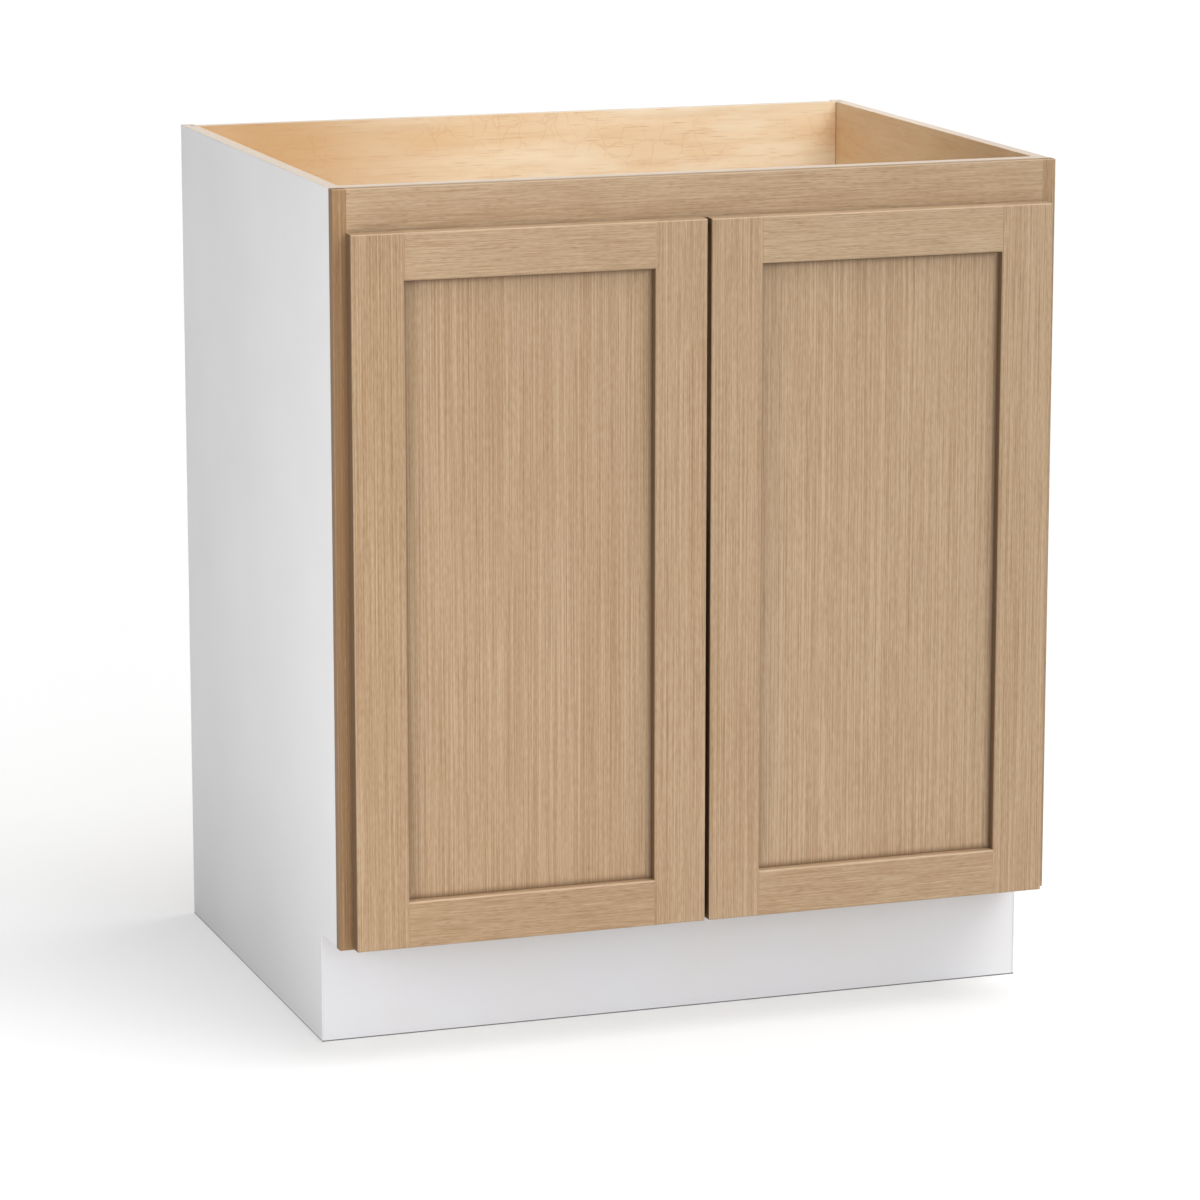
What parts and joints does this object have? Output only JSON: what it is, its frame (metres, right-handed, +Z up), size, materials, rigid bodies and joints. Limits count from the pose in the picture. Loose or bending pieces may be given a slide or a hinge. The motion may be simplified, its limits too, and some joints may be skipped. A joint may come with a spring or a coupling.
{
  "type": "kitchen base cabinet",
  "caption": "Kitchen base cabinet with an open top, oak face frame and framed doors, white sides and toe kick, and an adjustable shelf behind the doors.",
  "frame": {"origin": "on the floor, at the middle of the box that the closed cabinet fills", "axes": "+Z up, the doors face -Y, +X to the right for someone who faces the doors"},
  "size_m": [0.762, 0.61, 0.8763],
  "materials": {
    "maple_plywood": "clear satin lacquer on a maple veneer",
    "oak_veneer": "matte clear finish on rift-cut white oak, straight fine grain",
    "white_skin": "smooth white laminate, satin",
    "white_board": "smooth white laminate on board, satin",
    "nickel_steel": "nickel-plated pressed steel, satin",
    "plated_steel": "zinc-plated steel",
    "grey_plastic": "moulded plastic, fine texture",
    "clear_rubber": "soft translucent bumper"
  },
  "bodies": {
    "carcass": {"left_side_panel": "maple_plywood", "right_side_panel": "maple_plywood", "left_side_skin": "white_skin", "right_side_skin": "white_skin", "back_panel": "maple_plywood", "bottom_deck": "maple_plywood", "rear_deck_cleat": "maple_plywood", "toe_kick_board": "white_board", "front_stretcher": "maple_plywood", "left_frame_stile": "oak_veneer", "right_frame_stile": "oak_veneer", "frame_top_rail": "oak_veneer", "frame_bottom_rail": "oak_veneer", "adjustable_shelf": "maple_plywood", "shelf_pins": "plated_steel", "left_corner_brace": "grey_plastic", "right_corner_brace": "grey_plastic", "corner_brace_screws": "plated_steel", "left_hinge_plates": "nickel_steel", "right_hinge_plates": "nickel_steel", "hinge_plate_screws": "plated_steel", "left_hinge_arms": "nickel_steel", "right_hinge_arms": "nickel_steel", "hinge_arm_screws": "plated_steel"},
    "left_door": {"left_door_hinge_stile": "oak_veneer", "left_door_meeting_stile": "oak_veneer", "left_door_top_rail": "oak_veneer", "left_door_bottom_rail": "oak_veneer", "left_door_panel": "oak_veneer", "left_hinge_cups": "nickel_steel", "left_hinge_pins": "plated_steel", "left_hinge_cup_screws": "plated_steel", "left_door_bumpers": "clear_rubber"},
    "right_door": {"right_door_hinge_stile": "oak_veneer", "right_door_meeting_stile": "oak_veneer", "right_door_top_rail": "oak_veneer", "right_door_bottom_rail": "oak_veneer", "right_door_panel": "oak_veneer", "right_hinge_cups": "nickel_steel", "right_hinge_pins": "plated_steel", "right_hinge_cup_screws": "plated_steel", "right_door_bumpers": "clear_rubber"}
  },
  "joints": [
    {"name": "left_door_hinge", "type": "hinge", "parent": "carcass", "child": "left_door", "pos_m": [-0.3618, -0.294, 0.4758], "axis": [0, 0, -1], "range_deg": [0, 105]},
    {"name": "right_door_hinge", "type": "hinge", "parent": "carcass", "child": "right_door", "pos_m": [0.3618, -0.294, 0.4758], "axis": [0, 0, 1], "range_deg": [0, 105]}
  ]
}
